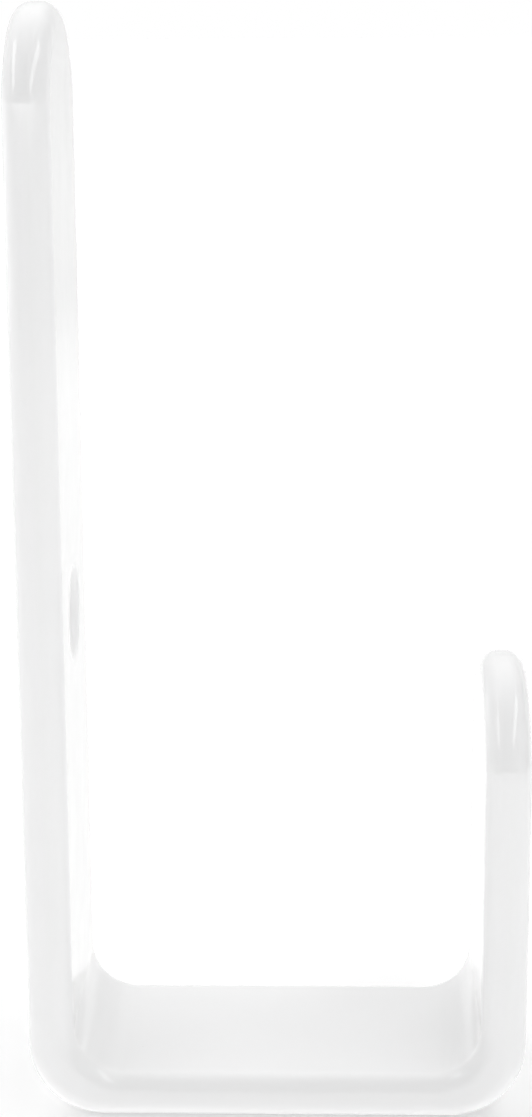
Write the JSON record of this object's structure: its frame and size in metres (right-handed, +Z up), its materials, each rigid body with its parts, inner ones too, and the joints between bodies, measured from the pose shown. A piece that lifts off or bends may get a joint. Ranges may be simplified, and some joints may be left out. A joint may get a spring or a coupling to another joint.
{
  "type": "ladder hook",
  "caption": "J-shaped wall hook of flat bar under a thick glossy white coat, with rounded ends, soft edges and a screw hole in its tall back arm, for hanging a ladder.",
  "frame": {"origin": "middle of the screw hole, on its axis and half way through the bar", "axes": "+X out from the wall towards the front arm, +Y across the bar, +Z up the back arm"},
  "size_m": [0.0553, 0.0272, 0.1215],
  "materials": {
    "vinyl_coat": "thick glossy white dip coat over steel bar"
  },
  "bodies": {
    "root": {"ladder_hook": "vinyl_coat"}
  },
  "joints": []
}
